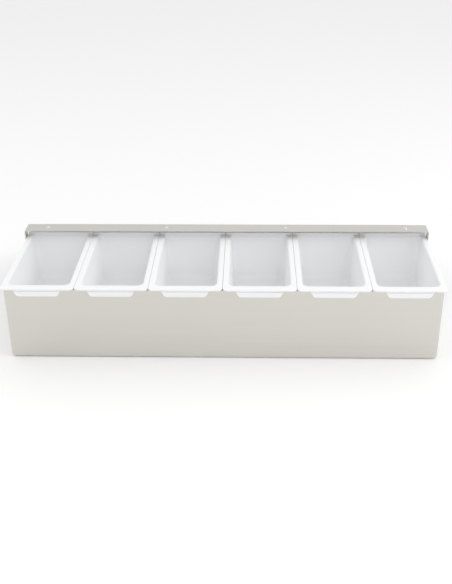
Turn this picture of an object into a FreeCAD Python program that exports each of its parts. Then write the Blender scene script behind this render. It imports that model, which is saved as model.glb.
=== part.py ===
import FreeCAD, Part
import math
import os
import re

import Sketcher

# Driving dimensions in millimetres, angles in degrees, and counts.
SIZES = {
    # Case: a shallow steel box, open on top, hemmed all round its top edge
    "case_length": 473.0,
    "case_depth": 143.3,
    "case_height": 85.4,
    "case_wall": 0.8,
    "case_corner_radius": 4.5,
    "case_base_radius": 3.5,
    "hem_height": 8.0,
    # Rail: the strip over the tubs' rear rims, on a leg bent down at each end of the case
    "rail_wall": 0.9,
    "rail_depth": 19.5,
    "rail_lift": 8.9,
    "rail_side_gap": 0.4,
    "rail_bend_radius": 1.8,
    "leg_depth": 11.5,
    "joggle_gap": 1.4,
    "joggle_height": 3.6,
    "foot_height": 20.0,
    "foot_corner_radius": 3.0,
    # Hinge: knuckles rolled from the rail's leaf and from the lid's leaf, on one pin
    "hinge_end_inset": 16.5,
    "hinge_rim_gap": 0.55,
    "hinge_rail_gap": 1.9,
    "knuckle_count": 11,
    "knuckle_gap": 0.4,
    "pin_diameter": 2.6,
    "pin_clearance": 0.05,
    "pin_head_diameter": 3.8,
    "pin_head_length": 0.9,
    # Leaves: the hinge's two halves, one under the rail and one under the lid
    "leaf_wall": 0.9,
    "leaf_depth": 16.0,
    "leaf_bend_radius": 1.7,
    # Lid: a shallow pan that closes over the rail and the rims
    "lid_wall": 0.8,
    "lid_gap": 0.4,
    "lid_side_gap": 0.5,
    "lid_front_inset": 2.2,
    "lid_rear_setback": 3.2,
    "lid_corner_radius": 3.5,
    "lid_bend_radius": 2.0,
    "lid_taper_length": 30.0,
    "lid_rear_skirt": 2.6,
    "lip_depth": 6.0,
    "lip_end_inset": 5.0,
    "lip_corner_radius": 3.0,
    "lip_bend_radius": 0.9,
    "table_gap": 0.2,
    # Rivets: domed heads on the rail and on the lid
    "rivet_diameter": 3.2,
    "rivet_clearance": 0.05,
    "rivet_head_diameter": 6.4,
    "rivet_head_height": 1.6,
    "rivet_tail_diameter": 5.0,
    "rivet_tail_height": 1.0,
    "rail_rivet_inset": 22.9,
    "rail_rivet_setback": 11.5,
    "lid_rivet_inset": 14.8,
    "lid_rivet_setback": 9.0,
    # Tubs: six moulded inserts side by side, each with a front pull tab
    "row_overhang": 2.55,
    "tub_gap": 0.7,
    "tub_wall": 1.6,
    "tub_floor": 1.8,
    "tub_depth": 58.0,
    "tub_draft": 3.0,
    "tub_corner_radius": 8.0,
    "tub_base_radius": 7.0,
    "seat_gap": 0.3,
    "rim_thickness": 1.6,
    "rim_overhang": 2.25,
    "rim_front_bar": 11.0,
    "rim_rear_bar": 6.4,
    "rim_side_bar": 6.5,
    "rim_corner_radius": 5.0,
    "rim_edge_radius": 0.7,
    "tab_top_width": 51.0,
    "tab_foot_width": 42.0,
    "tab_drop": 7.6,
    "tab_thickness": 1.3,
    "tab_gap": 0.5,
    "tab_corner_radius": 2.0,
    # One overrun serves every cut and every overlap between joined pads
    "overrun": 0.5,
}
TUB_COUNT = 6
RIVET_COUNT = 4
# How near an edge's bounding box lies to the place where the edge is looked for
FIND_TOLERANCE = 0.0001

doc = FreeCAD.newDocument("garnish_tray")
sheet = doc.addObject("Spreadsheet::Sheet", "Sizes")
for row, (alias, amount) in enumerate(SIZES.items(), 1):
    sheet.set(f"A{row}", alias)
    sheet.set(f"B{row}", str(amount))
    sheet.setAlias(f"B{row}", alias)
doc.recompute()
ALIAS = re.compile(r"\b(" + "|".join(SIZES) + r")\b")

# Places worked out from the driving dimensions, as formulas in the sheet's names.
# Y is 0 at the middle of the case and points to the back, Z is 0 under the case.
END_FACE = "(case_length / 2)"
BACK_FACE = "(case_depth / 2)"
BACK_INSIDE = "(case_depth / 2 - case_wall)"
HEM_INSIDE = "(case_depth / 2 - 2 * case_wall)"
ROW_HALF = f"({END_FACE} + row_overhang)"
TUB_PITCH = f"((2 * {ROW_HALF} + tub_gap) / {TUB_COUNT})"
RIM_WIDTH = f"({TUB_PITCH} - tub_gap)"
RIM_BOTTOM = "(case_height + seat_gap)"
RIM_TOP = f"({RIM_BOTTOM} + rim_thickness)"
RIM_FRONT = f"(-{BACK_FACE} - rim_overhang)"
RIM_REAR = f"({BACK_FACE} + rim_overhang)"
MOUTH_HALF = f"({RIM_WIDTH} / 2 - rim_side_bar)"
MOUTH_FRONT = f"({RIM_FRONT} + rim_front_bar)"
MOUTH_REAR = f"({RIM_REAR} - rim_rear_bar)"
RAIL_UNDER = f"({RIM_TOP} + rail_lift)"
RAIL_TOP = f"({RAIL_UNDER} + rail_wall)"
RAIL_HALF = f"({ROW_HALF} + rail_side_gap + rail_wall)"
BORE_R = "(pin_diameter / 2 + pin_clearance)"
KNUCKLE_R = f"({BORE_R} + leaf_wall)"
AXIS_Y = f"({RIM_REAR} + hinge_rim_gap + {KNUCKLE_R})"
AXIS_Z = f"({RAIL_UNDER} - {KNUCKLE_R})"
RAIL_REAR = f"({AXIS_Y} - hinge_rail_gap)"
RAIL_FRONT = f"({RAIL_REAR} - rail_depth)"
JOGGLE_TOP = f"({RIM_BOTTOM} - joggle_gap)"
JOGGLE_BOTTOM = f"({JOGGLE_TOP} - joggle_height)"
FOOT = f"({JOGGLE_BOTTOM} - foot_height)"
HINGE_LENGTH = "(case_length - 2 * hinge_end_inset)"
SEGMENT = f"({HINGE_LENGTH} / knuckle_count)"
LEAF_LENGTH = f"({SEGMENT} * (knuckle_count - 2) - knuckle_gap)"
# Heights in the closed lid's own frame, whose origin is on the hinge axis.
LEAF_BOTTOM = f"({RAIL_TOP} - {AXIS_Z} + rivet_head_height + lid_gap)"
LEAF_TOP = f"({LEAF_BOTTOM} + leaf_wall)"
LID_TOP = f"({LEAF_TOP} + lid_wall)"
LID_HALF = f"({RAIL_HALF} + lid_side_gap + lid_wall)"
LID_REACH = f"({AXIS_Y} - {RIM_FRONT} - lid_front_inset)"
SKIRT_BOTTOM = f"({RIM_TOP} + lid_gap - {AXIS_Z})"
# Rivets: the holes they go through and the spacing of each row.
RIVET_HOLE_R = "(rivet_diameter / 2 + rivet_clearance)"
RAIL_RIVET_SPACING = f"((case_length - 2 * rail_rivet_inset) / {RIVET_COUNT - 1})"
LID_RIVET_SPACING = f"(({LEAF_LENGTH} - 2 * lid_rivet_inset) / {RIVET_COUNT - 1})"


def in_sheet(formula):
    """Writes a formula with the sheet's name before each of its sizes."""
    return ALIAS.sub(r"Sizes.\g<0>", formula)


def size(formula):
    """The value of a formula in millimetres."""
    return float(sheet.evalExpression(in_sheet(formula)))


def bind(thing, prop, formula):
    """Ties a property to a formula."""
    thing.setExpression(prop, in_sheet(formula))


def new_body(label):
    """An empty body for one sub-part."""
    body = doc.addObject("PartDesign::Body", label)
    body.Label = label
    return body


def new_sketch(body, name, plane, offset="0"):
    """A sketch on one of the body's own origin planes, moved along that plane's normal."""
    sketch = body.newObject("Sketcher::SketchObject", name)
    support = [f for f in body.Origin.OriginFeatures if f.Role == plane]
    sketch.AttachmentSupport = [(support[0], "")]
    sketch.MapMode = "FlatFace"
    bind(sketch, "AttachmentOffset.Base.z", offset)
    return sketch


def place_point(sketch, line, end, across, up):
    """Holds a point of the sketch at two formulas measured from the sketch's origin."""
    for kind, formula in (("DistanceX", across), ("DistanceY", up)):
        index = sketch.addConstraint(Sketcher.Constraint(kind, -1, 1, line, end, size(formula)))
        bind(sketch, f"Constraints[{index}]", formula)


def draw_outline(sketch, corners):
    """A closed outline through corners, each a pair of formulas."""
    first = sketch.GeometryCount
    points = [FreeCAD.Vector(size(across), size(up), 0) for across, up in corners]
    count = len(points)
    for i, point in enumerate(points):
        sketch.addGeometry(Part.LineSegment(point, points[(i + 1) % count]))
    for i in range(count):
        sketch.addConstraint(Sketcher.Constraint("Coincident", first + i, 2, first + (i + 1) % count, 1))
    for i, (across, up) in enumerate(corners):
        place_point(sketch, first + i, 1, across, up)


def draw_rectangle(sketch, left, right, low, high):
    """A rectangle between four formulas."""
    draw_outline(sketch, [(left, low), (right, low), (right, high), (left, high)])


def draw_circle(sketch, across, up, radius):
    """A circle whose centre and radius are formulas."""
    centre = FreeCAD.Vector(size(across), size(up), 0)
    line = sketch.addGeometry(Part.Circle(centre, FreeCAD.Vector(0, 0, 1), size(radius)))
    place_point(sketch, line, 3, across, up)
    index = sketch.addConstraint(Sketcher.Constraint("Radius", line, size(radius)))
    bind(sketch, f"Constraints[{index}]", radius)


def extrude(body, kind, sketch, length, both_ways=False, reverse=False, draft=None):
    """A Pad or Pocket of a sketch, checked to have added or cut material."""
    doc.recompute()
    before = body.Shape.Volume if body.Tip else 0
    feature = body.newObject(f"PartDesign::{kind}", f"{sketch.Name}_{kind.lower()}")
    feature.Profile = sketch
    feature.SideType = "Symmetric" if both_ways else "One side"
    feature.Reversed = reverse
    bind(feature, "Length", length)
    if draft:
        bind(feature, "TaperAngle", draft)
    sketch.Visibility = False
    doc.recompute()
    gained = body.Shape.Volume - before
    if (gained <= 0) == (kind == "Pad"):
        raise ValueError(f"{feature.Name} changed nothing")
    return feature


def round_edges(body, name, radius, test):
    """A Fillet on the edges of the body whose bounding box passes a test."""
    base = body.Tip
    names = [f"Edge{i}" for i, edge in enumerate(base.Shape.Edges, 1) if test(edge.BoundBox)]
    if not names:
        raise ValueError(f"{name} found no edge")
    fillet = body.newObject("PartDesign::Fillet", name)
    fillet.Base = (base, names)
    bind(fillet, "Radius", radius)
    doc.recompute()
    if "Invalid" in fillet.State:
        raise ValueError(f"{name} could not be rounded")
    return fillet


def same(one, other):
    """True where two lengths are equal within the tolerance for finding edges."""
    return math.isclose(one, other, abs_tol=FIND_TOLERANCE)


def is_upright(box):
    """True for a straight edge along Z."""
    return same(box.XLength, 0) and same(box.YLength, 0)


def half_width(box):
    """How far an edge reaches from the middle plane."""
    return max(abs(box.XMin), abs(box.XMax))


def runs_along_x(box, across, up):
    """True for an edge along X at one place in Y and Z."""
    return same(box.YMin, across) and same(box.YMax, across) and same(box.ZMin, up) and same(box.ZMax, up)


def rivet_row(spacing):
    """The X places of a row of rivets, as formulas about the middle."""
    return [f"(({2 * i - RIVET_COUNT + 1}) * {spacing} / 2)" for i in range(RIVET_COUNT)]


def drill_rivets(body, name, height, spacing, across, depth):
    """The rivets' holes, cut down from a height."""
    sketch = new_sketch(body, name, "XY_Plane", height)
    for place in rivet_row(spacing):
        draw_circle(sketch, place, across, RIVET_HOLE_R)
    extrude(body, "Pocket", sketch, depth)


def knuckle_places(first):
    """The X places of every second knuckle, from the first one's number."""
    count = int(size("knuckle_count"))
    return [f"(({2 * i - count + 1}) * {SEGMENT} / 2)" for i in range(first, count - first, 2)]


def cut_notches(body, name, height, first, front, rear, depth):
    """Room for the other half's knuckles, cut down from a height."""
    sketch = new_sketch(body, name, "XY_Plane", height)
    for place in knuckle_places(first):
        reach = f"({SEGMENT} + knuckle_gap) / 2"
        draw_rectangle(sketch, f"{place} - {reach}", f"{place} + {reach}", front, rear)
    extrude(body, "Pocket", sketch, depth)


def roll_knuckles(body, across, up, length):
    """One long barrel with its bore, before it is notched."""
    barrel = new_sketch(body, f"{body.Name}_barrel", "YZ_Plane")
    draw_circle(barrel, across, up, KNUCKLE_R)
    extrude(body, "Pad", barrel, length, both_ways=True)
    bore = new_sketch(body, f"{body.Name}_bore", "YZ_Plane")
    draw_circle(bore, across, up, BORE_R)
    extrude(body, "Pocket", bore, f"{length} + 2 * overrun", both_ways=True)


def make_case():
    """The steel shell: rounded corners and a hem folded in along the top of all four walls."""
    body = new_body("case_shell")
    footprint = new_sketch(body, "case_footprint", "XY_Plane")
    draw_rectangle(footprint, f"-{END_FACE}", END_FACE, f"-{BACK_FACE}", BACK_FACE)
    extrude(body, "Pad", footprint, "case_height")
    mouth = new_sketch(body, "case_mouth", "XY_Plane", "case_wall")
    hem_x = f"({END_FACE} - 2 * case_wall)"
    draw_rectangle(mouth, f"-{hem_x}", hem_x, f"-{HEM_INSIDE}", HEM_INSIDE)
    extrude(body, "Pocket", mouth, "case_height", reverse=True)
    hem_place = size(hem_x)
    round_edges(body, "case_mouth_corners", "case_corner_radius - 2 * case_wall",
                lambda box: is_upright(box) and same(abs(box.XMax), hem_place))

    well = new_sketch(body, "case_well", "XY_Plane", "case_wall")
    wall_x = f"({END_FACE} - case_wall)"
    draw_rectangle(well, f"-{wall_x}", wall_x, f"-{BACK_INSIDE}", BACK_INSIDE)
    extrude(body, "Pocket", well, "case_height - hem_height - case_wall", reverse=True)
    wall_place = size(wall_x)
    round_edges(body, "case_well_corners", "case_corner_radius - case_wall",
                lambda box: is_upright(box) and same(abs(box.XMax), wall_place))
    floor = size("case_wall")
    round_edges(body, "case_well_bend", "case_base_radius - case_wall",
                lambda box: same(box.ZMin, floor) and same(box.ZMax, floor))
    end_place = size(END_FACE)
    round_edges(body, "case_corners", "case_corner_radius",
                lambda box: is_upright(box) and same(abs(box.XMax), end_place))
    round_edges(body, "case_base_bend", "case_base_radius", lambda box: same(box.ZMax, 0))
    return body


def make_rail():
    """The hinge rail: a flat strip with a leg at each end, joggled in to the case's end wall."""
    body = new_body("hinge_rail")
    strip = new_sketch(body, "rail_strip", "XZ_Plane", f"-{RAIL_FRONT}")
    leg_inside = f"({RAIL_HALF} - rail_wall)"
    foot_outside = f"({END_FACE} + rail_wall)"
    right = [
        (RAIL_HALF, RAIL_TOP),
        (RAIL_HALF, JOGGLE_TOP),
        (foot_outside, JOGGLE_BOTTOM),
        (foot_outside, FOOT),
        (END_FACE, FOOT),
        (END_FACE, JOGGLE_BOTTOM),
        (leg_inside, JOGGLE_TOP),
        (leg_inside, RAIL_UNDER),
    ]
    draw_outline(strip, right + [(f"-{across}", up) for across, up in reversed(right)])
    extrude(body, "Pad", strip, "rail_depth", reverse=True)
    half, top = size(RAIL_HALF), size(RAIL_TOP)
    inside, under = size(leg_inside), size(RAIL_UNDER)
    round_edges(body, "rail_end_bends", "rail_bend_radius",
                lambda box: same(abs(box.XMin), half) and same(box.XLength, 0) and same(box.ZMin, top))
    round_edges(body, "rail_end_bends_inside", "rail_bend_radius - rail_wall",
                lambda box: same(abs(box.XMin), inside) and same(box.XLength, 0) and same(box.ZMin, under)
                and same(box.ZMax, under))

    heel = f"{RAIL_FRONT} + leg_depth"
    behind = new_sketch(body, "rail_leg_trim", "YZ_Plane")
    draw_rectangle(behind, heel, f"{RAIL_REAR} + overrun", f"{FOOT} - overrun",
                   f"{RAIL_TOP} - rail_bend_radius - overrun")
    extrude(body, "Pocket", behind, f"2 * ({RAIL_HALF} + overrun)", both_ways=True)
    front_place, heel_place, foot_place = size(RAIL_FRONT), size(heel), size(FOOT)
    round_edges(body, "rail_foot_corners", "foot_corner_radius",
                lambda box: runs_along_x(box, front_place, foot_place)
                or runs_along_x(box, heel_place, foot_place))
    drill_rivets(body, "rail_rivet_holes", RAIL_TOP, RAIL_RIVET_SPACING,
                 f"{AXIS_Y} - rail_rivet_setback", "rail_wall + overrun")
    return body


def make_rail_leaf():
    """The rail's hinge leaf: a flat strip under the rail, rolled into knuckles at its rear edge."""
    body = new_body("rail_hinge_leaf")
    strip = new_sketch(body, "rail_leaf_strip", "YZ_Plane")
    draw_rectangle(strip, f"{AXIS_Y} - leaf_depth", AXIS_Y, f"{RAIL_UNDER} - leaf_wall", RAIL_UNDER)
    extrude(body, "Pad", strip, HINGE_LENGTH, both_ways=True)
    roll_knuckles(body, AXIS_Y, AXIS_Z, HINGE_LENGTH)
    cut_notches(body, "rail_leaf_notches", RAIL_UNDER, 1, f"{AXIS_Y} - {KNUCKLE_R} - knuckle_gap",
                f"{AXIS_Y} + {KNUCKLE_R} + overrun", f"2 * {KNUCKLE_R} + overrun")
    drill_rivets(body, "rail_leaf_rivet_holes", RAIL_UNDER, RAIL_RIVET_SPACING,
                 f"{AXIS_Y} - rail_rivet_setback", "leaf_wall + overrun")
    return body


def make_bar(name, radius, start, length):
    """A round bar along X on the hinge axis."""
    bar = doc.addObject("Part::Cylinder", name)
    bar.Placement = FreeCAD.Placement(FreeCAD.Vector(), FreeCAD.Rotation(FreeCAD.Vector(0, 1, 0), 90))
    bind(bar, "Radius", radius)
    bind(bar, "Height", length)
    bind(bar, "Placement.Base.x", start)
    bind(bar, "Placement.Base.y", AXIS_Y)
    bind(bar, "Placement.Base.z", AXIS_Z)
    return bar


def make_pin():
    """The hinge pin, headed at both ends outside the last knuckles."""
    half = f"({HINGE_LENGTH} / 2 + knuckle_gap)"
    pin = doc.addObject("Part::MultiFuse", "hinge_pin")
    pin.Label = "hinge_pin"
    pin.Shapes = [
        make_bar("pin_shank", "pin_diameter / 2", f"-{half}", f"2 * {half}"),
        make_bar("pin_left_head", "pin_head_diameter / 2", f"-{half} - pin_head_length", "pin_head_length"),
        make_bar("pin_right_head", "pin_head_diameter / 2", half, "pin_head_length"),
    ]
    return pin


def make_rivet(name, place, across, seat, grip):
    """One rivet: a domed head on its seat, a shank through the grip and a flat formed tail."""
    dome_r = "((rivet_head_diameter * rivet_head_diameter / 4 + rivet_head_height * rivet_head_height)" \
             " / (2 * rivet_head_height))"
    head = doc.addObject("Part::Sphere", f"{name}_head")
    bind(head, "Radius", dome_r)
    bind(head, "Angle1", f"asin(({dome_r} - rivet_head_height) / {dome_r})")
    shank = doc.addObject("Part::Cylinder", f"{name}_shank")
    bind(shank, "Radius", "rivet_diameter / 2")
    bind(shank, "Height", grip)
    tail = doc.addObject("Part::Cylinder", f"{name}_tail")
    bind(tail, "Radius", "rivet_tail_diameter / 2")
    bind(tail, "Height", "rivet_tail_height")
    heights = {
        head: f"{seat} - ({dome_r} - rivet_head_height)",
        shank: f"{seat} - {grip}",
        tail: f"{seat} - {grip} - rivet_tail_height",
    }
    for piece, height in heights.items():
        bind(piece, "Placement.Base.x", place)
        bind(piece, "Placement.Base.y", across)
        bind(piece, "Placement.Base.z", height)
    rivet = doc.addObject("Part::MultiFuse", name)
    rivet.Shapes = list(heights)
    return rivet


def make_rivets(label, spacing, across, seat, grip):
    """A row of rivets as one sub-part of separate solids."""
    row = doc.addObject("Part::Compound", label)
    row.Label = label
    row.Links = [
        make_rivet(f"{label}_{i}", place, across, seat, grip)
        for i, place in enumerate(rivet_row(spacing), 1)
    ]
    return row


def make_lid_leaf():
    """The lid's hinge leaf: a flat strip under the panel, sloping down to its knuckles."""
    body = new_body("lid_hinge_leaf")
    strip = new_sketch(body, "leaf_strip", "YZ_Plane")
    draw_outline(strip, [
        ("-leaf_depth", LEAF_TOP),
        ("-leaf_depth", LEAF_BOTTOM),
        (f"{BORE_R} * sqrt(2) - {LEAF_BOTTOM}", LEAF_BOTTOM),
        (f"{BORE_R} / sqrt(2)", f"{BORE_R} / sqrt(2)"),
        (f"{KNUCKLE_R} / sqrt(2)", f"{KNUCKLE_R} / sqrt(2)"),
        (f"{KNUCKLE_R} * sqrt(2) - {LEAF_TOP}", LEAF_TOP),
    ])
    extrude(body, "Pad", strip, LEAF_LENGTH, both_ways=True)
    outer = (size(f"{KNUCKLE_R} * sqrt(2) - {LEAF_TOP}"), size(LEAF_TOP))
    inner = (size(f"{BORE_R} * sqrt(2) - {LEAF_BOTTOM}"), size(LEAF_BOTTOM))
    round_edges(body, "leaf_bend", "leaf_bend_radius", lambda box: runs_along_x(box, *outer))
    round_edges(body, "leaf_bend_inside", "leaf_bend_radius - leaf_wall",
                lambda box: runs_along_x(box, *inner))
    roll_knuckles(body, "0", "0", LEAF_LENGTH)
    reach = f"{KNUCKLE_R} + overrun"
    cut_notches(body, "leaf_notches", f"{KNUCKLE_R} + knuckle_gap", 2, f"-({reach})", reach,
                f"2 * ({KNUCKLE_R} + knuckle_gap)")
    drill_rivets(body, "leaf_rivet_holes", LEAF_TOP, LID_RIVET_SPACING, "-lid_rivet_setback",
                 "leaf_wall + overrun")
    return body


def make_panel():
    """The lid's panel: a pan open at the rear, with a finger lip along its front skirt."""
    body = new_body("lid_panel")
    block = new_sketch(body, "panel_block", "XY_Plane", SKIRT_BOTTOM)
    draw_rectangle(block, f"-{LID_HALF}", LID_HALF, f"-{LID_REACH}", "-lid_rear_setback")
    extrude(body, "Pad", block, f"{LID_TOP} - {SKIRT_BOTTOM}")
    hollow = new_sketch(body, "panel_hollow", "XY_Plane", SKIRT_BOTTOM)
    inside_x = f"({LID_HALF} - lid_wall)"
    inside_front = f"-{LID_REACH} + lid_wall"
    draw_rectangle(hollow, f"-{inside_x}", inside_x, inside_front, "-lid_rear_setback + overrun")
    extrude(body, "Pocket", hollow, f"{LID_TOP} - lid_wall - {SKIRT_BOTTOM}", reverse=True)
    front, rear, top = size(f"-{LID_REACH}"), size("-lid_rear_setback"), size(LID_TOP)
    inner_front, ceiling = size(inside_front), size(f"{LID_TOP} - lid_wall")
    round_edges(body, "panel_corners_inside", "lid_corner_radius - lid_wall",
                lambda box: is_upright(box) and same(box.YMin, inner_front))
    round_edges(body, "panel_bends_inside", "lid_bend_radius - lid_wall",
                lambda box: same(box.ZMin, ceiling) and same(box.ZMax, ceiling) and not same(box.YMin, rear))
    round_edges(body, "panel_corners", "lid_corner_radius",
                lambda box: is_upright(box) and same(box.YMin, front))
    round_edges(body, "panel_bends", "lid_bend_radius",
                lambda box: same(box.ZMin, top) and not same(box.YMin, rear))

    lip = new_sketch(body, "panel_lip", "XY_Plane", SKIRT_BOTTOM)
    lip_x = f"({LID_HALF} - lip_end_inset)"
    draw_rectangle(lip, f"-{lip_x}", lip_x, f"-{LID_REACH} - lip_depth", f"-{LID_REACH} + lid_wall / 2")
    extrude(body, "Pad", lip, "lid_wall")
    lip_front, lip_top = size(f"-{LID_REACH} - lip_depth"), size(f"{SKIRT_BOTTOM} + lid_wall")
    round_edges(body, "lip_corners", "lip_corner_radius",
                lambda box: is_upright(box) and same(box.YMin, lip_front))
    round_edges(body, "lip_bend", "lip_bend_radius", lambda box: runs_along_x(box, front, lip_top))

    taper = new_sketch(body, "panel_taper", "YZ_Plane")
    draw_outline(taper, [
        ("-lid_taper_length", SKIRT_BOTTOM),
        ("-lid_taper_length", f"{SKIRT_BOTTOM} - overrun"),
        ("-lid_rear_setback + overrun", f"{SKIRT_BOTTOM} - overrun"),
        ("-lid_rear_setback + overrun", f"{LID_TOP} - lid_rear_skirt"),
    ])
    extrude(body, "Pocket", taper, f"2 * {LID_HALF} + overrun", both_ways=True)
    drill_rivets(body, "panel_rivet_holes", LID_TOP, LID_RIVET_SPACING, "-lid_rivet_setback",
                 "lid_wall + overrun")
    return body


def open_lid(pieces):
    """Turns the lid's pieces back about the hinge until the panel's front bend meets the table."""
    reach, rise = size(f"{LID_REACH} - lid_bend_radius"), size(f"{LID_TOP} - lid_bend_radius")
    drop = size(f"{AXIS_Z} - table_gap - lid_bend_radius")
    past_level = math.degrees(math.asin(drop / math.hypot(reach, rise)) - math.atan2(rise, reach))
    swing = 180 + past_level
    turn = FreeCAD.Rotation(FreeCAD.Vector(-1, 0, 0), swing)
    for piece in pieces:
        piece.Placement = FreeCAD.Placement(FreeCAD.Vector(0, size(AXIS_Y), size(AXIS_Z)), turn)
        bind(piece, "Placement.Base.y", AXIS_Y)
        bind(piece, "Placement.Base.z", AXIS_Z)
    print(f"lid swing {swing:.3f} degrees about y {size(AXIS_Y):.3f} z {size(AXIS_Z):.3f}")


def make_tub(number):
    """One moulded tub: tapered walls, a broad rim and a pull tab hanging in front of the case."""
    body = new_body(f"tub_{number}")
    shell = new_sketch(body, f"tub_{number}_shell", "XY_Plane", RIM_BOTTOM)
    shell_x = f"({MOUTH_HALF} + tub_wall)"
    draw_rectangle(shell, f"-{shell_x}", shell_x, f"{MOUTH_FRONT} - tub_wall", f"{MOUTH_REAR} + tub_wall")
    extrude(body, "Pad", shell, "tub_depth + tub_floor - rim_thickness", reverse=True, draft="-tub_draft")
    rim = new_sketch(body, f"tub_{number}_rim", "XY_Plane", RIM_BOTTOM)
    draw_rectangle(rim, f"-{RIM_WIDTH} / 2", f"{RIM_WIDTH} / 2", RIM_FRONT, RIM_REAR)
    extrude(body, "Pad", rim, "rim_thickness")
    hollow = new_sketch(body, f"tub_{number}_hollow", "XY_Plane", RIM_TOP)
    draw_rectangle(hollow, f"-{MOUTH_HALF}", MOUTH_HALF, MOUTH_FRONT, MOUTH_REAR)
    extrude(body, "Pocket", hollow, "tub_depth", draft="-tub_draft")

    top, shoulder = size(RIM_TOP), size(RIM_BOTTOM)
    floor, bottom = size(f"{RIM_TOP} - tub_depth"), size(f"{RIM_TOP} - tub_depth - tub_floor")
    round_edges(body, f"tub_{number}_hollow_corners", "tub_corner_radius",
                lambda box: same(box.ZMin, floor) and same(box.ZMax, top))
    round_edges(body, f"tub_{number}_hollow_base", "tub_base_radius",
                lambda box: same(box.ZMin, floor) and same(box.ZMax, floor))
    round_edges(body, f"tub_{number}_corners", "tub_corner_radius + tub_wall",
                lambda box: same(box.ZMin, bottom) and same(box.ZMax, shoulder))
    round_edges(body, f"tub_{number}_base", "tub_base_radius + tub_floor", lambda box: same(box.ZMax, bottom))
    round_edges(body, f"tub_{number}_rim_corners", "rim_corner_radius", is_upright)
    side, front, rear = size(f"{RIM_WIDTH} / 2"), size(RIM_FRONT), size(RIM_REAR)
    round_edges(body, f"tub_{number}_rim_edges", "rim_edge_radius",
                lambda box: same(box.ZLength, 0) and box.ZMin > bottom
                and (same(box.YMin, front) or same(box.YMax, rear) or same(half_width(box), side)))
    mouth = size(MOUTH_HALF) + FIND_TOLERANCE
    round_edges(body, f"tub_{number}_mouth", "rim_edge_radius",
                lambda box: same(box.ZMin, top) and same(box.ZMax, top) and half_width(box) < mouth)

    tab = new_sketch(body, f"tub_{number}_tab", "XZ_Plane", f"{BACK_FACE} + tab_gap")
    root, foot = f"{RIM_BOTTOM} + rim_thickness / 2", f"{RIM_BOTTOM} - tab_drop"
    draw_outline(tab, [
        ("-tab_foot_width / 2", foot),
        ("tab_foot_width / 2", foot),
        ("tab_top_width / 2", RIM_BOTTOM),
        ("tab_top_width / 2", root),
        ("-tab_top_width / 2", root),
        ("-tab_top_width / 2", RIM_BOTTOM),
    ])
    extrude(body, "Pad", tab, "tab_thickness")
    low, foot_x = size(foot), size("tab_foot_width / 2")
    round_edges(body, f"tub_{number}_tab_corners", "tab_corner_radius",
                lambda box: same(box.ZMin, low) and same(box.ZMax, low) and same(box.XLength, 0)
                and same(abs(box.XMin), foot_x))
    bind(body, "Placement.Base.x", f"({2 * number - TUB_COUNT - 1}) * {TUB_PITCH} / 2")
    return body


lid_pieces = [
    make_panel(),
    make_lid_leaf(),
    make_rivets("lid_rivets", LID_RIVET_SPACING, "-lid_rivet_setback", LID_TOP, "(lid_wall + leaf_wall)"),
]
open_lid(lid_pieces)
sub_parts = [
    make_case(),
    make_rail(),
    make_rail_leaf(),
    make_rivets("rail_rivets", RAIL_RIVET_SPACING, f"({AXIS_Y} - rail_rivet_setback)", RAIL_TOP,
                "(rail_wall + leaf_wall)"),
    make_pin(),
]
sub_parts += lid_pieces
sub_parts += [make_tub(number) for number in range(1, TUB_COUNT + 1)]
doc.recompute()

failed = [thing.Label for thing in doc.Objects if {"Invalid", "Error"} & set(thing.State)]
broken = [part.Label for part in sub_parts if part.Shape.isNull() or not part.Shape.isValid()]
if failed or broken:
    raise RuntimeError(f"failed objects {failed}, broken shapes {broken}")

os.makedirs("parts", exist_ok=True)
for part in sub_parts:
    part.Shape.exportStep(os.path.join("parts", f"{part.Label}.step"))
    box = part.Shape.BoundBox
    print(f"{part.Label:16s} solids {len(part.Shape.Solids)} volume {part.Shape.Volume:10.1f}",
          f"x {box.XMin:.2f} {box.XMax:.2f} y {box.YMin:.2f} {box.YMax:.2f} z {box.ZMin:.2f} {box.ZMax:.2f}")
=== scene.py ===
import math

import bmesh
import bpy
from mathutils import Matrix, Vector


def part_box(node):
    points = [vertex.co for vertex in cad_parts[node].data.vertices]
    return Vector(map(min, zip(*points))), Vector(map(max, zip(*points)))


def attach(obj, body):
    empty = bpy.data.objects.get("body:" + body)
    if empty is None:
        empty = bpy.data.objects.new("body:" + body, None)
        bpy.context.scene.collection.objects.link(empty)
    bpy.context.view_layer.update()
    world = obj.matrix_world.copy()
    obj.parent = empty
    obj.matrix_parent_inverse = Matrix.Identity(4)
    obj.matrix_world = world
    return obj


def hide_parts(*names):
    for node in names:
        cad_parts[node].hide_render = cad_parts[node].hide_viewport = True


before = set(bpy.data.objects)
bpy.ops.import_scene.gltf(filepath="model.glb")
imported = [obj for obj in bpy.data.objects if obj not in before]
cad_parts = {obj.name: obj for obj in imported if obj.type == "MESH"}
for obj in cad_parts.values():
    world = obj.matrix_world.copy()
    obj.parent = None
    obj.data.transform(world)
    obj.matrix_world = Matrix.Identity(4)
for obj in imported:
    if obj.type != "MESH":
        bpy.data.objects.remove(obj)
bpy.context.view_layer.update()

# One millimetre in the scene's unit, the metre
MM = 0.001

# Tub: moulded with even walls and a broad flat rim
TUBS = [f"tub_{number}" for number in range(1, 7)]
TUB_WALL = 1.6 * MM
TUB_DEPTH = 58.0 * MM
TUB_DRAFT = math.radians(3.0)
TUB_CORNER = 8.0 * MM
# The mouth's rear corners are tighter than the rest
REAR_CORNER = 3.6 * MM
# Rounding between a tub's wall and its floor
BASE_ROUND = 7.0 * MM
RIM_FRONT_BAR = 11.0 * MM
RIM_REAR_BAR = 6.4 * MM
RIM_SIDE_BAR = 6.5 * MM
RIM_CORNER = 5.0 * MM
RIM_ROUND = 0.5 * MM
MOUTH_ROUND = 2.6 * MM
# Neighbouring rims nearly touch
RIM_GAP = 0.3 * MM
RIM_FOOT_ROUND = 0.4 * MM
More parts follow.
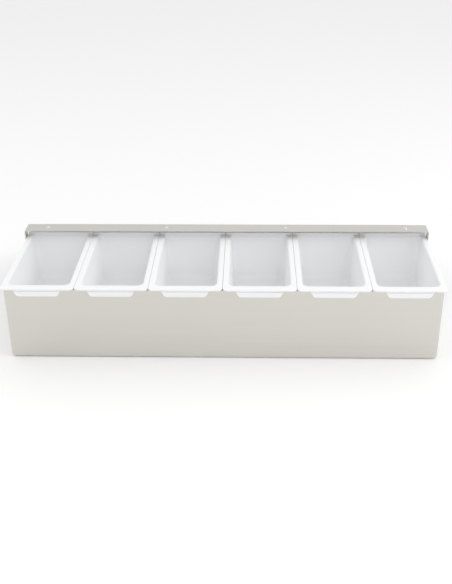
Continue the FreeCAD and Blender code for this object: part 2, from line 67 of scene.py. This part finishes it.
# Faces round an outline's corner, along the deep roundings and along the small ones
CORNER_STEPS = 8
BASE_STEPS = 6
ROUND_STEPS = 4
# Pull tab that hangs from the front of the rim
TAB_TOP_WIDTH = 53.0 * MM
TAB_FOOT_WIDTH = 43.6 * MM
TAB_DROP = 7.6 * MM
TAB_ROOT = 0.8 * MM
TAB_THICKNESS = 1.3 * MM
TAB_SETBACK = 0.45 * MM
# A groove divides the tab from the rim
NECK_HEIGHT = 1.8 * MM
NECK_THICKNESS = 0.4 * MM
TAB_CORNER = 2.0 * MM
TAB_ROUND = 0.35 * MM
# Lip that rises from the rear of the rim, under the rail
LIP_RISE = 2.5 * MM
LIP_ROOT = 2.6 * MM
LIP_THICKNESS = 1.4 * MM
LIP_INSET = 0.1 * MM
LIP_CORNER = 0.9 * MM
LIP_ROUND = 0.4 * MM
# Room between the tub's outlines while they are bridged
RING_LIFT = 1.0
# How near a point lies to the place where it is looked for
NEAR = 0.01 * MM
SMOOTH_ANGLE = math.radians(40)
# Turn that makes a flat plane stand up and face the front
UPRIGHT = (math.radians(90), 0, 0)

# Camera, set where the photograph was taken from, with its lens and sensor in millimetres
CAMERA_PLACE = Vector((29.64, -898.49, 530.9)) * MM
CAMERA_AIM = Vector((1.59, 2.13, 43.94)) * MM
CAMERA_ROLL = math.radians(-0.57)
CAMERA_LENS = 54.32
CAMERA_SENSOR = 36.0

# Stage, in metres
FLOOR_SIZE = 14.0
# The room is brightest overhead, brighter behind the tray than in front, and a little brighter
# to the right
HORIZON_GLOW = 0.42
ZENITH_GLOW = 0.97
FRONT_SHARE = 0.68
REAR_SHARE = 1.34
LEFT_SHARE = 0.88
RIGHT_SHARE = 1.16
# Past the floor's edge the camera sees the far floor's own tone, so that the edge doesn't show
BACKDROP_TONE = "#E6E6E6"
# Square soft lights to the right, to the left and near the camera, with their power in watts
LIGHTS = {
    "key_light": {"place": Vector((1.5, -0.35, 0.95)), "size": 0.8, "power": 7.5},
    "fill_light": {"place": Vector((-1.5, -0.35, 0.95)), "size": 0.8, "power": 4.0},
    "front_light": {"place": Vector((0.25, -1.6, 1.0)), "size": 0.8, "power": 4.0},
}
# Lifts the middle tones, as the photograph's bright exposure does
GAMMA = 1.24


def linear(hex_colour):
    """An sRGB hex colour as linear RGBA."""
    shares = [int(hex_colour[i:i + 2], 16) / 255 for i in (1, 3, 5)]
    return (*[c / 12.92 if c <= 0.04045 else ((c + 0.055) / 1.055) ** 2.4 for c in shares], 1.0)


def add(tree, kind, inputs=None, **settings):
    """Adds a node with its settings. Its inputs take values, or other nodes' outputs as links.
    Sockets that share a name, as on Math and Mix, are given by number."""
    node = tree.nodes.new(kind)
    for name, setting in settings.items():
        setattr(node, name, setting)
    for socket, given in (inputs or {}).items():
        if isinstance(given, bpy.types.NodeSocket):
            tree.links.new(given, node.inputs[socket])
        else:
            node.inputs[socket].default_value = given
    return node


def new_material(name):
    """A node material with nothing in it yet."""
    material = bpy.data.materials.new(name)
    material.use_nodes = True
    material.node_tree.nodes.clear()
    return material


def make_brushed_stainless():
    """Stainless sheet, brushed along its length: fine straight lines that draw reflections out
    into soft bands, on a warm grey that drifts a little from place to place."""
    material = new_material("stainless_sheet_brushed")
    tree = material.node_tree
    grain_length = 70.0 * MM
    # Real brush lines are about 0.1 mm apart. They are drawn wider so that they show.
    grain_width = 0.9 * MM
    grain_share = 0.10
    drift_size = 140.0 * MM
    # Broad faint streaks, where the brush pressed more or less
    streak_length = 320.0 * MM
    streak_width = 7.0 * MM
    least_tone = 0.25
    # A face whose normal points this far along the tray belongs to an end wall
    end_facing = 0.7
    place = add(tree, "ShaderNodeTexCoord")
    lengthways = add(tree, "ShaderNodeMapping", {
        "Vector": place.outputs["Object"],
        "Scale": (1 / grain_length, 1 / grain_width, 1 / grain_width),
    })
    endways = add(tree, "ShaderNodeMapping", {
        "Vector": place.outputs["Object"],
        "Scale": (1 / grain_width, 1 / grain_length, 1 / grain_width),
    })
    # The end walls' lines run from front to back, the other faces' along the tray
    facing = add(tree, "ShaderNodeSeparateXYZ", {"Vector": place.outputs["Normal"]})
    sideways = add(tree, "ShaderNodeMath", {0: facing.outputs["X"]}, operation="ABSOLUTE")
    on_end = add(tree, "ShaderNodeMath", {
        0: sideways.outputs[0],
        1: end_facing,
    }, operation="GREATER_THAN")
    grain_place = add(tree, "ShaderNodeMix", {
        0: on_end.outputs[0],
        4: lengthways.outputs["Vector"],
        5: endways.outputs["Vector"],
    }, data_type="VECTOR")
    grain = add(tree, "ShaderNodeTexNoise", {
        "Vector": grain_place.outputs[1],
        "Scale": 1.0,
        "Detail": 3.0,
        "Roughness": 0.6,
    })
    drift = add(tree, "ShaderNodeTexNoise", {
        "Vector": place.outputs["Object"],
        "Scale": 1 / drift_size,
        "Detail": 1.0,
    })
    streak_place = add(tree, "ShaderNodeMapping", {
        "Vector": place.outputs["Object"],
        "Scale": (1 / streak_length, 1 / streak_width, 1 / streak_width),
    })
    streaks = add(tree, "ShaderNodeTexNoise", {
        "Vector": streak_place.outputs["Vector"],
        "Scale": 1.0,
        "Detail": 2.0,
    })
    tone = add(tree, "ShaderNodeMath", {
        0: drift.outputs[0],
        1: streaks.outputs[0],
        2: least_tone,
    }, operation="MULTIPLY_ADD")
    steel = add(tree, "ShaderNodeMix", {
        0: tone.outputs[0],
        6: linear("#C7C4BB"),
        7: linear("#D2CFC9"),
    }, data_type="RGBA")
    lined = add(tree, "ShaderNodeMix", {
        0: grain_share,
        6: steel.outputs[2],
        7: grain.outputs[0],
    }, data_type="RGBA", blend_type="SOFT_LIGHT")
    gloss = add(tree, "ShaderNodeMapRange", {
        "Value": grain.outputs[0],
        "From Min": 0.3,
        "From Max": 0.7,
        "To Min": 0.30,
        "To Max": 0.42,
    })
    relief = add(tree, "ShaderNodeBump", {
        "Strength": 0.12,
        "Distance": 0.05 * MM,
        "Height": grain.outputs[0],
    })
    shader = add(tree, "ShaderNodeBsdfPrincipled", {
        "Base Color": lined.outputs[2],
        "Metallic": 1.0,
        "Roughness": gloss.outputs["Result"],
        "Normal": relief.outputs["Normal"],
    })
    add(tree, "ShaderNodeOutputMaterial", {"Surface": shader.outputs["BSDF"]})
    return material


def make_bright_stainless():
    """Stainless wire, headed and tumbled: rivets and pin are brighter and smoother than the sheet,
    with small soft dings."""
    material = new_material("stainless_wire_tumbled")
    tree = material.node_tree
    ding_size = 0.8 * MM
    place = add(tree, "ShaderNodeTexCoord")
    dings = add(tree, "ShaderNodeTexNoise", {
        "Vector": place.outputs["Object"],
        "Scale": 1 / ding_size,
        "Detail": 2.0,
    })
    tone = add(tree, "ShaderNodeMix", {
        0: dings.outputs[0],
        6: linear("#D2D0CA"),
        7: linear("#E2E1DD"),
    }, data_type="RGBA")
    gloss = add(tree, "ShaderNodeMapRange", {
        "Value": dings.outputs[0],
        "From Min": 0.3,
        "From Max": 0.7,
        "To Min": 0.12,
        "To Max": 0.20,
    })
    relief = add(tree, "ShaderNodeBump", {
        "Strength": 0.1,
        "Distance": 0.05 * MM,
        "Height": dings.outputs[0],
    })
    shader = add(tree, "ShaderNodeBsdfPrincipled", {
        "Base Color": tone.outputs[2],
        "Metallic": 1.0,
        "Roughness": gloss.outputs["Result"],
        "Normal": relief.outputs["Normal"],
    })
    add(tree, "ShaderNodeOutputMaterial", {"Surface": shader.outputs["BSDF"]})
    return material


def make_moulded_polypropylene():
    """White polypropylene, injection moulded: a soft even gloss, faint flow marks where the melt
    spread, and a skin that follows the mould's own finish."""
    material = new_material("polypropylene_white_moulded")
    tree = material.node_tree
    flow_size = 30.0 * MM
    # A mould's own texture is about 0.1 mm. It is drawn coarser so that it shows.
    skin_size = 0.7 * MM
    place = add(tree, "ShaderNodeTexCoord")
    flow = add(tree, "ShaderNodeTexNoise", {
        "Vector": place.outputs["Object"],
        "Scale": 1 / flow_size,
        "Detail": 2.0,
        "Distortion": 0.6,
    })
    skin = add(tree, "ShaderNodeTexNoise", {
        "Vector": place.outputs["Object"],
        "Scale": 1 / skin_size,
        "Detail": 2.0,
    })
    white = add(tree, "ShaderNodeMix", {
        0: flow.outputs[0],
        6: linear("#F5F6F8"),
        7: linear("#F8F8F9"),
    }, data_type="RGBA")
    gloss = add(tree, "ShaderNodeMapRange", {
        "Value": flow.outputs[0],
        "From Min": 0.3,
        "From Max": 0.7,
        "To Min": 0.34,
        "To Max": 0.44,
    })
    relief = add(tree, "ShaderNodeBump", {
        "Strength": 0.05,
        "Distance": 0.03 * MM,
        "Height": skin.outputs[0],
    })
    shader = add(tree, "ShaderNodeBsdfPrincipled", {
        "Base Color": white.outputs[2],
        "Roughness": gloss.outputs["Result"],
        "IOR": 1.49,
        "Subsurface Weight": 0.2,
        "Subsurface Radius": (1.0, 1.0, 1.0),
        "Subsurface Scale": 1.0 * MM,
        "Normal": relief.outputs["Normal"],
    })
    add(tree, "ShaderNodeOutputMaterial", {"Surface": shader.outputs["BSDF"]})
    return material


def make_floor_paper():
    """Matt white background paper."""
    material = new_material("paper_white_matt")
    tree = material.node_tree
    shader = add(tree, "ShaderNodeBsdfPrincipled", {
        "Base Color": linear("#FEFEFE"),
        "Roughness": 0.9,
        "Specular IOR Level": 0.1,
    })
    add(tree, "ShaderNodeOutputMaterial", {"Surface": shader.outputs["BSDF"]})
    return material


def use_only(piece):
    """Selects one object alone and makes it active."""
    bpy.ops.object.select_all(action="DESELECT")
    piece.select_set(True)
    bpy.context.view_layer.objects.active = piece


def pick(piece, mode, test):
    """In edit mode, selects the vertices, edges or faces that pass a test, and nothing else."""
    bpy.ops.mesh.select_mode(type=mode)
    bpy.ops.mesh.select_all(action="DESELECT")
    shape = bmesh.from_edit_mesh(piece.data)
    items = {"VERT": shape.verts, "EDGE": shape.edges, "FACE": shape.faces}[mode]
    for item in items:
        item.select_set(test(item))
    shape.select_flush_mode()
    bmesh.update_edit_mesh(piece.data)


def join_pieces(pieces):
    """Joins several objects into the first."""
    use_only(pieces[0])
    for piece in pieces[1:]:
        piece.select_set(True)
    bpy.ops.object.join()
    return pieces[0]


class Ring:
    """One rounded outline of the tub's wall. It is drawn high above its place, apart from the others,
    and settled at its own height once it is bridged."""

    def __init__(self, half, front, rear, height, corner, rear_corner=None):
        self.half, self.front, self.rear = half, front, rear
        self.height, self.corner = height, corner
        self.rear_corner = rear_corner or corner
        self.middle = (front + rear) / 2
        self.level = height

    def grown(self, side, height, corner, rear_corner=None):
        """The same outline, larger by side all round, at another height and with corners of its own."""
        front, rear = self.front - side, self.rear + side
        return Ring(self.half + side, front, rear, height, corner, rear_corner)

    def holds(self, edge):
        """True where an edge of the mesh runs along this outline."""
        return all(self.passes(vert.co) for vert in edge.verts)

    def passes(self, point):
        """True where the outline goes through a point."""
        corner = self.corner if point.y < self.middle else self.rear_corner
        across = abs(point.x) - self.half + corner
        along = abs(point.y - self.middle) - (self.rear - self.front) / 2 + corner
        outside = math.hypot(max(across, 0), max(along, 0)) + min(max(across, along), 0) - corner
        return abs(point.z - self.level) < NEAR and abs(outside) < NEAR

    def draw(self, level):
        """The outline as an object of edges alone, at a level."""
        self.level = level
        bpy.ops.object.select_all(action="DESELECT")
        centre = (0, self.middle, level)
        bpy.ops.mesh.primitive_plane_add(size=1, location=centre)
        piece = bpy.context.object
        piece.scale = (2 * self.half, self.rear - self.front, 1)
        bpy.ops.object.transform_apply(location=True, rotation=False, scale=True)
        bpy.ops.object.mode_set(mode="EDIT")
        pick(piece, "VERT", lambda vert: vert.co.y < self.middle)
        bpy.ops.mesh.bevel(offset=self.corner, segments=CORNER_STEPS, affect="VERTICES")
        pick(piece, "VERT", lambda vert: vert.co.y > self.middle)
        bpy.ops.mesh.bevel(offset=self.rear_corner, segments=CORNER_STEPS, affect="VERTICES")
        bpy.ops.mesh.select_all(action="SELECT")
        bpy.ops.mesh.delete(type="ONLY_FACE")
        bpy.ops.object.mode_set(mode="OBJECT")
        return piece

    def settle(self, piece):
        """Moves the outline, now part of a piece, to its own height."""
        pick(piece, "VERT", lambda vert: self.passes(vert.co))
        bpy.ops.transform.translate(value=(0, 0, self.height - self.level))
        self.level = self.height


def tub_rings(low, high, half):
    """The outlines of a tub from its inner floor, up over the rim and down to its underside."""
    slope = math.tan(TUB_DRAFT)
    top, bottom = high.z, low.z
    front, rear = low.y + RIM_FRONT_BAR, high.y - RIM_REAR_BAR
    mouth = Ring(half - RIM_SIDE_BAR, front, rear, top, TUB_CORNER, REAR_CORNER)
    rim = Ring(half, low.y, high.y, top, RIM_CORNER)
    wall = mouth.grown(TUB_WALL, top - TUB_WALL, TUB_CORNER + TUB_WALL, REAR_CORNER + TUB_WALL)
    return {
        "floor": mouth.grown(-TUB_DEPTH * slope, top - TUB_DEPTH, TUB_CORNER),
        "mouth": mouth,
        "rim": rim,
        "foot": rim.grown(0, top - TUB_WALL, RIM_CORNER),
        "wall": wall,
        "base": wall.grown(-(top - TUB_WALL - bottom) * slope, bottom, TUB_CORNER + TUB_WALL),
    }


def round_ring(piece, ring, radius, steps):
    """Rounds the edges that run along one of the tub's outlines."""
    pick(piece, "EDGE", ring.holds)
    bpy.ops.mesh.bevel(offset=radius, segments=steps, affect="EDGES")


def model_shell(rings):
    """The tub's wall and rim, bridged from one outline to the next."""
    piece = join_pieces([ring.draw(step * RING_LIFT) for step, ring in enumerate(rings.values(), 1)])
    bpy.ops.object.mode_set(mode="EDIT")
    names = list(rings)
    for inner, outer in zip(names, names[1:]):
        pick(piece, "EDGE", lambda edge: rings[inner].holds(edge) or rings[outer].holds(edge))
        bpy.ops.mesh.bridge_edge_loops()
    for end in ("floor", "base"):
        pick(piece, "EDGE", rings[end].holds)
        bpy.ops.mesh.edge_face_add()
    for ring in rings.values():
        ring.settle(piece)
    bpy.ops.mesh.select_all(action="SELECT")
    bpy.ops.mesh.normals_make_consistent(inside=False)
    round_ring(piece, rings["floor"], BASE_ROUND, BASE_STEPS)
    round_ring(piece, rings["base"], BASE_ROUND + TUB_WALL, BASE_STEPS)
    round_ring(piece, rings["mouth"], MOUTH_ROUND, BASE_STEPS)
    round_ring(piece, rings["rim"], RIM_ROUND, ROUND_STEPS)
    round_ring(piece, rings["foot"], RIM_FOOT_ROUND, ROUND_STEPS)
    bpy.ops.object.mode_set(mode="OBJECT")
    return piece


def start_plate(width, foot, top, depth):
    """An upright flat plate that faces the front, left in edit mode."""
    bpy.ops.object.select_all(action="DESELECT")
    centre = (0, depth, (foot + top) / 2)
    bpy.ops.mesh.primitive_plane_add(size=1, location=centre, rotation=UPRIGHT)
    plate = bpy.context.object
    plate.scale = (width, top - foot, 1)
    bpy.ops.object.transform_apply(location=True, rotation=True, scale=True)
    bpy.ops.object.mode_set(mode="EDIT")
    return plate


def extrude_back(depth):
    """Extrudes what is selected towards the back, or with a negative depth towards the front."""
    bpy.ops.mesh.extrude_region_move(TRANSFORM_OT_translate={"value": (0, depth, 0)})


def finish_plate(plate, radius):
    """Rounds the sharp edges round a plate's front and back, and leaves edit mode."""
    bpy.ops.mesh.select_all(action="SELECT")
    bpy.ops.mesh.normals_make_consistent(inside=False)
    pick(plate, "EDGE", lambda edge: abs(edge.verts[0].co.y - edge.verts[1].co.y) < NEAR
         and edge.calc_face_angle(0) > SMOOTH_ANGLE)
    bpy.ops.mesh.bevel(offset=radius, segments=ROUND_STEPS, affect="EDGES")
    bpy.ops.object.mode_set(mode="OBJECT")


def model_tab(low, high):
    """The pull tab: a plate that narrows downwards, hung from the rim on a thinner neck."""
    shoulder = high.z - TUB_WALL
    foot, top = shoulder - TAB_DROP, shoulder + TAB_ROOT
    back = low.y + TAB_SETBACK + TAB_THICKNESS
    neck_foot, neck_front = shoulder - NECK_HEIGHT, back - NECK_THICKNESS
    tab = start_plate(TAB_TOP_WIDTH, foot, top, back)
    pick(tab, "VERT", lambda vert: abs(vert.co.z - foot) < NEAR)
    bpy.ops.transform.resize(value=(TAB_FOOT_WIDTH / TAB_TOP_WIDTH, 1, 1))
    bpy.ops.mesh.bevel(offset=TAB_CORNER, segments=ROUND_STEPS, affect="VERTICES")
    bpy.ops.mesh.select_all(action="SELECT")
    bpy.ops.mesh.bisect(plane_co=(0, back, neck_foot), plane_no=(0, 0, 1))
    bpy.ops.mesh.select_all(action="SELECT")
    extrude_back(-NECK_THICKNESS)
    pick(tab, "FACE", lambda face: all(vert.co.z < neck_foot + NEAR and vert.co.y < neck_front + NEAR
                                       for vert in face.verts))
    extrude_back(NECK_THICKNESS - TAB_THICKNESS)
    finish_plate(tab, TAB_ROUND)
    return tab


def model_lip(high, half):
    """The rear lip: the rear wall carried on above the rim, with rounded ends."""
    foot, top = high.z - LIP_ROOT, high.z + LIP_RISE
    lip = start_plate(2 * (half - LIP_INSET), foot, top, high.y - RIM_REAR_BAR)
    pick(lip, "VERT", lambda vert: abs(vert.co.z - top) < NEAR)
    bpy.ops.mesh.bevel(offset=LIP_CORNER, segments=ROUND_STEPS, affect="VERTICES")
    bpy.ops.mesh.select_all(action="SELECT")
    extrude_back(LIP_THICKNESS)
    finish_plate(lip, LIP_ROUND)
    return lip


def model_tub(low, high, half):
    """One whole tub, centred across the tray."""
    shell = model_shell(tub_rings(low, high, half))
    tub = join_pieces([shell, model_tab(low, high), model_lip(high, half)])
    bpy.ops.object.shade_smooth_by_angle(angle=SMOOTH_ANGLE)
    bpy.ops.object.modifier_add(type="WEIGHTED_NORMAL")
    tub.modifiers[-1].keep_sharp = True
    bpy.ops.object.modifier_apply(modifier=tub.modifiers[-1].name)
    return tub


def place_tubs(material):
    """Copies the tub to each place in the row, where it stands for the plain solid."""
    low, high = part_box(TUBS[0])
    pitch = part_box(TUBS[1])[0].x - low.x
    pattern = model_tub(low, high, (pitch - RIM_GAP) / 2)
    for name in TUBS:
        low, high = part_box(name)
        use_only(pattern)
        bpy.ops.object.duplicate()
        tub = bpy.context.object
        tub.name = f"{name}_moulding"
        bpy.ops.transform.translate(value=((low.x + high.x) / 2, 0, 0))
        bpy.ops.object.transform_apply(location=True, rotation=False, scale=False)
        tub.data.materials.append(material)
        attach(tub, f"{name}_body")
        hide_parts(name)
    bpy.data.objects.remove(pattern)


def dress_nodes():
    """Gives the CAD nodes that stay their finish."""
    finishes = {
        "brushed_stainless": make_brushed_stainless(),
        "bright_stainless": make_bright_stainless(),
    }
    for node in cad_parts.values():
        for slot in node.material_slots:
            if slot.material.name in finishes:
                slot.material = finishes[slot.material.name]


def lay_floor():
    """A white paper floor."""
    bpy.ops.object.select_all(action="DESELECT")
    bpy.ops.mesh.primitive_plane_add(size=FLOOR_SIZE)
    floor = bpy.context.object
    floor.name = "floor"
    floor.data.materials.append(make_floor_paper())


def light_room():
    """A white room whose glow changes upwards, backwards and sideways."""
    world = bpy.data.worlds.new("studio")
    world.use_nodes = True
    tree = world.node_tree
    tree.nodes.clear()
    direction = add(tree, "ShaderNodeTexCoord")
    parts = add(tree, "ShaderNodeSeparateXYZ", {"Vector": direction.outputs["Generated"]})
    upwards = add(tree, "ShaderNodeMapRange", {
        "Value": parts.outputs["Z"],
        "To Min": HORIZON_GLOW,
        "To Max": ZENITH_GLOW,
    })
    backwards = add(tree, "ShaderNodeMapRange", {
        "Value": parts.outputs["Y"],
        "From Min": -1.0,
        "To Min": FRONT_SHARE,
        "To Max": REAR_SHARE,
    })
    sideways = add(tree, "ShaderNodeMapRange", {
        "Value": parts.outputs["X"],
        "From Min": -1.0,
        "To Min": LEFT_SHARE,
        "To Max": RIGHT_SHARE,
    })
    level = add(tree, "ShaderNodeMath", {
        0: upwards.outputs["Result"],
        1: backwards.outputs["Result"],
    }, operation="MULTIPLY")
    strength = add(tree, "ShaderNodeMath", {
        0: level.outputs[0],
        1: sideways.outputs["Result"],
    }, operation="MULTIPLY")
    glow = add(tree, "ShaderNodeBackground", {
        "Color": linear("#FFFFFF"),
        "Strength": strength.outputs[0],
    })
    backdrop = add(tree, "ShaderNodeBackground", {"Color": linear(BACKDROP_TONE)})
    ray = add(tree, "ShaderNodeLightPath")
    surround = add(tree, "ShaderNodeMixShader", {
        0: ray.outputs["Is Camera Ray"],
        1: glow.outputs["Background"],
        2: backdrop.outputs["Background"],
    })
    add(tree, "ShaderNodeOutputWorld", {"Surface": surround.outputs["Shader"]})
    bpy.context.scene.world = world


def place_lights():
    """The soft lights, each turned towards the tray."""
    for name, light in LIGHTS.items():
        bpy.ops.object.light_add(type="AREA", location=light["place"])
        softbox = bpy.context.object
        softbox.name = name
        softbox.data.size = light["size"]
        softbox.data.energy = light["power"]
        softbox.rotation_euler = (-light["place"]).to_track_quat("-Z", "Y").to_euler()


def set_camera():
    """The photograph's viewpoint and tones."""
    bpy.ops.object.camera_add()
    camera = bpy.context.object
    camera.name = "camera"
    camera.data.lens = CAMERA_LENS
    camera.data.sensor_width = CAMERA_SENSOR
    sight = (CAMERA_AIM - CAMERA_PLACE).normalized()
    level = sight.cross(Vector((0, 0, 1))).normalized()
    upright = level.cross(sight)
    right = level * math.cos(CAMERA_ROLL) + upright * math.sin(CAMERA_ROLL)
    up = upright * math.cos(CAMERA_ROLL) - level * math.sin(CAMERA_ROLL)
    turn = Matrix((right, up, -sight)).transposed().to_4x4()
    camera.matrix_world = Matrix.Translation(CAMERA_PLACE) @ turn
    bpy.context.scene.camera = camera
    bpy.context.scene.view_settings.view_transform = "Standard"
    bpy.context.scene.view_settings.gamma = GAMMA


dress_nodes()
place_tubs(make_moulded_polypropylene())
lay_floor()
light_room()
place_lights()
set_camera()

bpy.context.view_layer.update()
